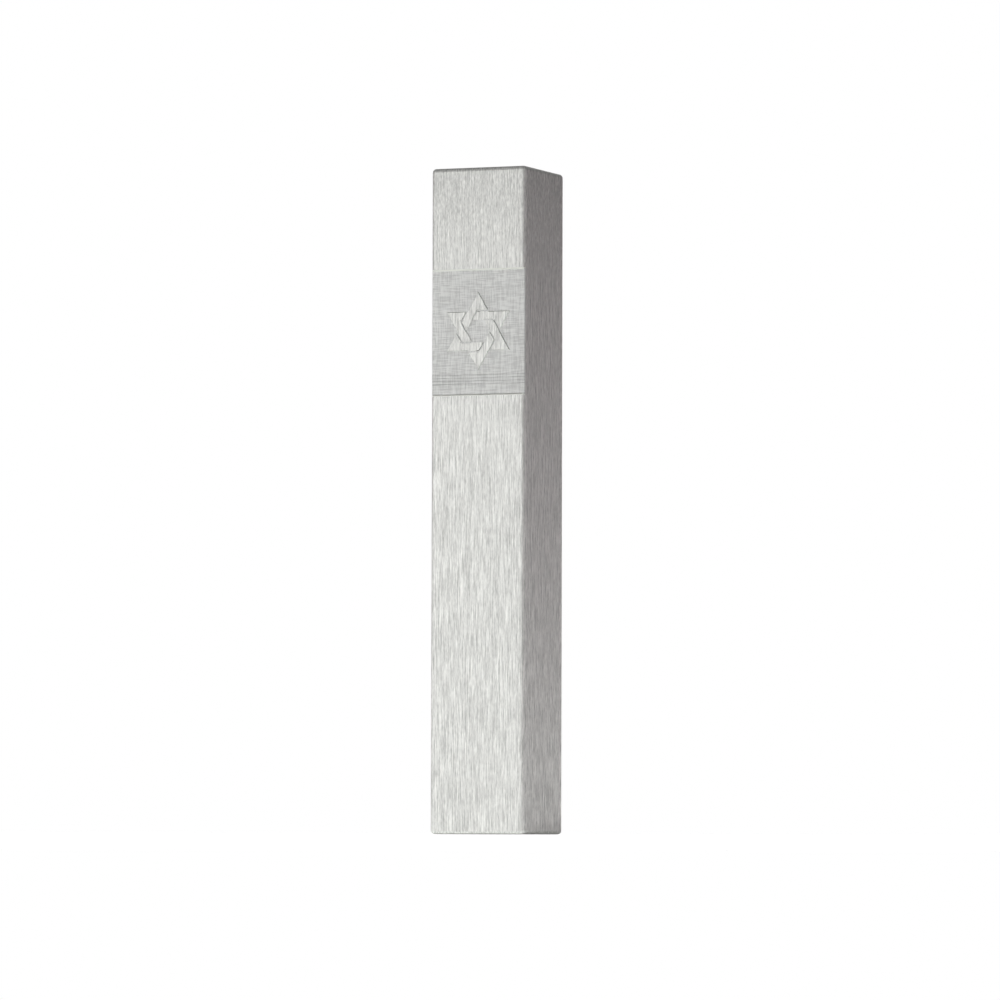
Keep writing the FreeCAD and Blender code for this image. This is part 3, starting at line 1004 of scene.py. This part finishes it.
def rolled_sheet(name, low, high, finish, material):
    """A sheet rolled inwards in half turns about two centres, then given its thickness."""
    end_drop, end_slope, wave_height, wave_depth = 0.3 * MM, 0.12, 0.12 * MM, 0.4 * MM
    mesh = bmesh.new()
    axis = (low + high) / 2
    pitch = finish.roll_pitch
    reach = (high.x - low.x) / 2 + pitch / 4 - finish.sheet_thickness / 2
    rows = 24
    edge_low = Vector((axis.x + reach, axis.y, low.z))
    start = mesh.verts.new(edge_low)
    raised = bmesh.ops.extrude_vert_indiv(mesh, verts=[start])
    bmesh.ops.translate(mesh, verts=raised["verts"], vec=Vector((0, 0, high.z - low.z)))
    bmesh.ops.subdivide_edges(mesh, edges=raised["edges"], cuts=rows - 1)
    front = mesh.verts[:] + mesh.edges[:]
    for number in range(finish.half_turns):
        side = 1 if number % 2 == 0 else -1
        centre = Vector((axis.x + side * pitch / 4, axis.y, 0))
        swept = bmesh.ops.spin(
            mesh, geom=front, cent=centre, axis=(0, 0, 1), angle=math.pi, steps=20
        )
        front = swept["geom_last"]
    bmesh.ops.remove_doubles(mesh, verts=mesh.verts[:], dist=0.001 * MM)
    for vertex in mesh.verts:
        share = (vertex.co.z - low.z) / (high.z - low.z)
        turn = math.atan2(vertex.co.y - axis.y, vertex.co.x - axis.x)
        depth = reach - (vertex.co.xy - axis.xy).length
        end_wave = wave_height * math.sin(3 * turn + depth / wave_depth)
        vertex.co.z -= share * (end_drop + end_slope * depth + end_wave)
    bmesh.ops.recalc_face_normals(mesh, faces=mesh.faces[:])
    bmesh.ops.solidify(mesh, geom=mesh.faces[:], thickness=finish.sheet_thickness)
    bmesh.ops.recalc_face_normals(mesh, faces=mesh.faces[:])
    return piece_from(mesh, name, material)


def sink(mesh, rim, plane, sides, radius, depth):
    """Closes one end of the screw, leaving a straight-sided hole in it."""
    ring = bmesh.ops.create_circle(
        mesh,
        segments=sides,
        radius=radius,
        matrix=Matrix.Translation(plane) @ Matrix.Rotation(math.pi / 2, 4, "Y"),
    )
    mouth = list({edge for vertex in ring["verts"] for edge in vertex.link_edges})
    bmesh.ops.triangle_fill(mesh, edges=rim + mouth, use_beauty=True)
    walls = bmesh.ops.extrude_edge_only(mesh, edges=mouth)["geom"]
    lowered = [item for item in walls if isinstance(item, bmesh.types.BMVert)]
    bmesh.ops.translate(mesh, verts=lowered, vec=Vector((depth, 0, 0)))
    floor = [
        item
        for item in walls
        if isinstance(item, bmesh.types.BMEdge) and all(v in lowered for v in item.verts)
    ]
    bmesh.ops.contextual_create(mesh, geom=floor)


def threaded_screw(name, low, high, finish, material):
    """A set screw with a cut thread, a hexagon socket outside and a round hole inside."""
    mesh = bmesh.new()
    axis = (low + high) / 2
    radius = (high.z - low.z) / 2
    root = radius - finish.thread_depth
    pitch, steps = finish.thread_pitch, 36
    turns = math.ceil((high.x - low.x) / pitch) + 2
    start = Vector((low.x - pitch, axis.y, axis.z))
    profile = []
    for number in range(turns):
        for share, reach in ((0.0, radius), (0.12, radius), (0.5, root), (0.62, root)):
            profile.append(mesh.verts.new(start + Vector(((number + share) * pitch, 0, reach))))
    lines = [mesh.edges.new(pair) for pair in zip(profile, profile[1:])]
    bmesh.ops.spin(
        mesh,
        geom=profile + lines,
        cent=axis,
        axis=(1, 0, 0),
        angle=math.tau,
        steps=steps,
        dvec=Vector((pitch / steps, 0, 0)),
    )
    bmesh.ops.remove_doubles(mesh, verts=mesh.verts[:], dist=0.002 * MM)
    rims = []
    for plane, outward in ((low.x, -1), (high.x, 1)):
        cut = bmesh.ops.bisect_plane(
            mesh,
            geom=mesh.verts[:] + mesh.edges[:] + mesh.faces[:],
            dist=0.0001 * MM,
            plane_co=Vector((plane, 0, 0)),
            plane_no=Vector((outward, 0, 0)),
            clear_outer=True,
        )
        rims.append([item for item in cut["geom_cut"] if isinstance(item, bmesh.types.BMEdge)])
    for vertex in mesh.verts:
        inset = min(vertex.co.x - low.x, high.x - vertex.co.x)
        limit = radius - max(0.0, finish.screw_chamfer - inset)
        arm = Vector((0, vertex.co.y - axis.y, vertex.co.z - axis.z))
        if arm.length > limit:
            arm *= limit / arm.length
            vertex.co.y, vertex.co.z = axis.y + arm.y, axis.z + arm.z
    socket = finish.socket_width / 2 / math.cos(math.pi / 6)
    sink(mesh, rims[0], Vector((low.x, axis.y, axis.z)), 6, socket, finish.socket_depth)
    sink(
        mesh,
        rims[1],
        Vector((high.x, axis.y, axis.z)),
        24,
        finish.tip_hole / 2,
        -finish.tip_hole_depth,
    )
    bmesh.ops.recalc_face_normals(mesh, faces=mesh.faces[:])
    open_edges = [edge for edge in mesh.edges if not edge.is_manifold]
    if open_edges:
        raise RuntimeError(f"{name} has {len(open_edges)} open edges")
    screw = piece_from(mesh, name, material)
    screw.data.set_sharp_from_angle(angle=math.radians(35))
    return screw


class MEZUZAH_OT_case(bpy.types.Operator):
    """Finish the brushed bar with its milled band and raised emblem"""

    bl_idname = "mezuzah.case"
    bl_label = "Finish Case"

    def execute(self, context):
        dress("case_body", brushed_aluminium(context.scene.mezuzah_case))
        return {"FINISHED"}


class MEZUZAH_OT_wall_plate(bpy.types.Operator):
    """Finish the T-shaped wall plate"""

    bl_idname = "mezuzah.wall_plate"
    bl_label = "Finish Wall Plate"

    def execute(self, context):
        dress("wall_plate", blasted_aluminium(context.scene.mezuzah_fixing))
        return {"FINISHED"}


class MEZUZAH_OT_foam_tapes(bpy.types.Operator):
    """Make the two foam tapes in the back of the wall plate"""

    bl_idname = "mezuzah.foam_tapes"
    bl_label = "Make Foam Tapes"

    def execute(self, context):
        material = closed_cell_foam(context.scene.mezuzah_fixing)
        for node in ("foam_tape_upper", "foam_tape_lower"):
            low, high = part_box(node)
            strip = foam_strip(node + "_strip", low, high, material)
            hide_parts(node)
            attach(strip, "wall_fixing")
        return {"FINISHED"}


class MEZUZAH_OT_set_screw(bpy.types.Operator):
    """Make the threaded set screw and finish its soft tip"""

    bl_idname = "mezuzah.set_screw"
    bl_label = "Make Set Screw"

    def execute(self, context):
        finish = context.scene.mezuzah_fixing
        low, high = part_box("lock_screw")
        screw = threaded_screw("lock_screw_threaded", low, high, finish, stainless_steel(finish))
        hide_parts("lock_screw")
        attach(screw, "set_screw")
        dress("lock_screw_tip", moulded_plastic("natural_nylon", finish.nylon, 0.4, glow=0.2))
        return {"FINISHED"}


class MEZUZAH_OT_plug(bpy.types.Operator):
    """Finish the turned plug and its two rings"""

    bl_idname = "mezuzah.plug"
    bl_label = "Finish Plug"

    def execute(self, context):
        finish = context.scene.mezuzah_cartridge
        low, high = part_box("closing_plug")
        dress("closing_plug", turned_aluminium(finish, (low + high) / 2))
        rubber = nitrile_rubber(finish)
        for node in ("o_ring_upper", "o_ring_lower"):
            dress(node, rubber)
        return {"FINISHED"}


class MEZUZAH_OT_tube(bpy.types.Operator):
    """Finish the clear tube and its cap"""

    bl_idname = "mezuzah.tube"
    bl_label = "Finish Tube"

    def execute(self, context):
        finish = context.scene.mezuzah_cartridge
        dress("scroll_tube", clear_plastic(finish))
        dress("tube_cap", moulded_plastic("natural_polyethylene", finish.cap, 0.45, glow=0.3))
        return {"FINISHED"}


class MEZUZAH_OT_parchment(bpy.types.Operator):
    """Make the rolled parchment inside the tube"""

    bl_idname = "mezuzah.parchment"
    bl_label = "Make Parchment"

    def execute(self, context):
        finish = context.scene.mezuzah_cartridge
        low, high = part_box("parchment_scroll")
        roll = rolled_sheet("parchment_roll", low, high, finish, prepared_parchment(finish))
        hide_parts("parchment_scroll")
        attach(roll, "cartridge")
        return {"FINISHED"}


class MEZUZAH_OT_stage(bpy.types.Operator):
    """Set up the floor, the soft light and the camera"""

    bl_idname = "mezuzah.stage"
    bl_label = "Set Stage"

    def execute(self, context):
        stage = context.scene.mezuzah_stage
        context.scene.view_settings.view_transform = "Standard"
        floor_and_light(context, stage)
        camera(context, stage)
        return {"FINISHED"}


def studio_world(context, stage):
    """Soft light all round: a key in front to the left, a rim behind it, a fill at the right."""
    world = bpy.data.worlds.new("studio")
    world.use_nodes = True
    tree = world.node_tree
    tree.nodes.clear()
    place = add(tree, "ShaderNodeTexCoord")
    split = add(tree, "ShaderNodeSeparateXYZ", {"Vector": place.outputs["Generated"]})

    def panel(azimuth, rise, edge, core, power):
        """A round soft panel. edge and core are cosines of where it starts and where it is full."""
        turn = math.radians(azimuth)
        toward = Vector((math.sin(turn), -math.cos(turn), rise)).normalized()
        facing = add(
            tree,
            "ShaderNodeVectorMath",
            {0: place.outputs["Generated"], 1: toward},
            operation="DOT_PRODUCT",
        )
        return add(
            tree,
            "ShaderNodeMapRange",
            {
                "Value": facing.outputs["Value"],
                "From Min": edge,
                "From Max": core,
                "To Min": 0.0,
                "To Max": power,
            },
            interpolation_type="SMOOTHSTEP",
        ).outputs[0]

    key = panel(azimuth=-32, rise=0.0, edge=0.25, core=0.98, power=stage.key_power)
    rim = panel(azimuth=-138, rise=0.1, edge=0.7, core=0.97, power=0.6)
    fill = panel(azimuth=90, rise=0.1, edge=0.1, core=1.0, power=0.12)
    sides = add(tree, "ShaderNodeMath", {0: rim, 1: fill}, operation="ADD")
    lit = add(tree, "ShaderNodeMath", {0: sides.outputs[0], 1: stage.room_power}, operation="ADD")
    walls = add(
        tree,
        "ShaderNodeMapRange",
        {
            "Value": split.outputs["Z"],
            "From Min": 0.0,
            "From Max": 0.14,
            "To Min": 1.0,
            "To Max": 0.13,
        },
        interpolation_type="SMOOTHSTEP",
    )
    ceiling = add(
        tree,
        "ShaderNodeMapRange",
        {
            "Value": split.outputs["Z"],
            "From Min": 0.12,
            "From Max": 0.45,
            "To Min": 0.0,
            "To Max": stage.ceiling_power,
        },
    )
    room = add(
        tree,
        "ShaderNodeVectorMath",
        {0: tuple(stage.room), "Scale": lit.outputs[0]},
        operation="SCALE",
    )
    around = add(tree, "ShaderNodeVectorMath", {0: room.outputs[0], 1: key}, operation="ADD")
    fading = add(
        tree,
        "ShaderNodeVectorMath",
        {0: around.outputs[0], "Scale": walls.outputs[0]},
        operation="SCALE",
    )
    light = add(
        tree, "ShaderNodeVectorMath", {0: fading.outputs[0], 1: ceiling.outputs[0]}, operation="ADD"
    )
    studio = add(tree, "ShaderNodeBackground", {"Color": light.outputs[0], "Strength": 1.0})
    backdrop = add(tree, "ShaderNodeBackground", {"Color": (1.0, 1.0, 1.0, 1.0), "Strength": 1.0})
    ray = add(tree, "ShaderNodeLightPath")
    shown = add(
        tree,
        "ShaderNodeMixShader",
        {0: ray.outputs["Is Camera Ray"], 1: studio.outputs[0], 2: backdrop.outputs[0]},
    )
    add(tree, "ShaderNodeOutputWorld", {"Surface": shown.outputs[0]})
    context.scene.world = world


def overhead_light(context, stage):
    """A wide soft light from above. It has no mirror image in the metal."""
    data = bpy.data.lights.new("overhead", "SUN")
    data.energy = stage.overhead_power
    data.angle = stage.overhead_spread
    light = bpy.data.objects.new("overhead", data)
    turn, rise = stage.overhead_azimuth, stage.overhead_rise
    away = Vector(
        (math.sin(turn) * math.cos(rise), -math.cos(turn) * math.cos(rise), math.sin(rise))
    )
    light.rotation_euler = away.to_track_quat("Z", "Y").to_euler()
    light.visible_glossy = False
    context.scene.collection.objects.link(light)


def floor_and_light(context, stage):
    """A pale floor just under the case, and the studio's light."""
    material, tree = new_material("pale_floor")
    ray = add(tree, "ShaderNodeLightPath")
    lift = add(
        tree,
        "ShaderNodeMath",
        {0: ray.outputs["Is Camera Ray"], 1: stage.floor_lift, 2: stage.floor_glow},
        operation="MULTIPLY_ADD",
    )
    finish_surface(
        tree,
        {
            "Base Color": opaque(stage.floor),
            "Roughness": 0.9,
            "Specular IOR Level": 0.1,
            "Emission Color": opaque(stage.floor),
            "Emission Strength": lift.outputs[0],
        },
    )
    mesh = bmesh.new()
    bmesh.ops.create_circle(mesh, cap_ends=True, radius=4.0, segments=128)
    bmesh.ops.translate(mesh, verts=mesh.verts[:], vec=Vector((0, 0, CASE_LOW.z - 0.05 * MM)))
    floor = piece_from(mesh, "floor", material)
    studio_world(context, stage)
    overhead_light(context, stage)


def camera(context, stage):
    """The camera, to the right of the front and level with the foot of the case."""
    data = bpy.data.cameras.new("camera")
    data.lens = stage.lens
    data.sensor_width = 36
    eye = bpy.data.objects.new("camera", data)
    back = Vector((math.sin(stage.azimuth), -math.cos(stage.azimuth), 0))
    right = Vector((math.cos(stage.azimuth), math.sin(stage.azimuth), 0))
    eye.location = CASE_CENTRE + back * stage.distance
    eye.location.z = CASE_LOW.z + stage.height
    sight = CASE_CENTRE + right * stage.aim - eye.location
    sight.z += stage.aim_height
    look = sight.to_track_quat("-Z", "Y").to_matrix()
    eye.rotation_euler = (look @ Matrix.Rotation(stage.lean, 3, "Z")).to_euler()
    context.scene.collection.objects.link(eye)
    context.scene.camera = eye


class MEZUZAH_PT_panel(bpy.types.Panel):
    """Steps that finish the case and set its stage"""

    bl_label = "Mezuzah Case"
    bl_idname = "MEZUZAH_PT_panel"
    bl_space_type = "VIEW_3D"
    bl_region_type = "UI"
    bl_category = "Mezuzah"

    def draw(self, context):
        for operator in OPERATORS:
            self.layout.operator(operator.bl_idname)
        for name in GROUPS:
            box = self.layout.box()
            settings = getattr(context.scene, name)
            for prop in settings.bl_rna.properties:
                if prop.identifier not in ("rna_type", "name"):
                    box.prop(settings, prop.identifier)


OPERATORS = (
    MEZUZAH_OT_case,
    MEZUZAH_OT_wall_plate,
    MEZUZAH_OT_foam_tapes,
    MEZUZAH_OT_set_screw,
    MEZUZAH_OT_plug,
    MEZUZAH_OT_tube,
    MEZUZAH_OT_parchment,
    MEZUZAH_OT_stage,
)
GROUPS = {
    "mezuzah_case": MezuzahCaseFinish,
    "mezuzah_fixing": MezuzahFixingFinish,
    "mezuzah_cartridge": MezuzahCartridgeFinish,
    "mezuzah_stage": MezuzahStage,
}


def register():
    """Registers every class and hangs the settings on the scene."""
    for cls in (*GROUPS.values(), *OPERATORS, MEZUZAH_PT_panel):
        bpy.utils.register_class(cls)
    for name, group in GROUPS.items():
        setattr(bpy.types.Scene, name, PointerProperty(type=group))


def unregister():
    """Takes away what register added."""
    for name in GROUPS:
        delattr(bpy.types.Scene, name)
    for cls in reversed((*GROUPS.values(), *OPERATORS, MEZUZAH_PT_panel)):
        bpy.utils.unregister_class(cls)


def main():
    """Runs every step in order."""
    register()
    bpy.ops.mezuzah.case()
    bpy.ops.mezuzah.wall_plate()
    bpy.ops.mezuzah.foam_tapes()
    bpy.ops.mezuzah.set_screw()
    bpy.ops.mezuzah.plug()
    bpy.ops.mezuzah.tube()
    bpy.ops.mezuzah.parchment()
    bpy.ops.mezuzah.stage()


if __name__ == "__main__":
    main()
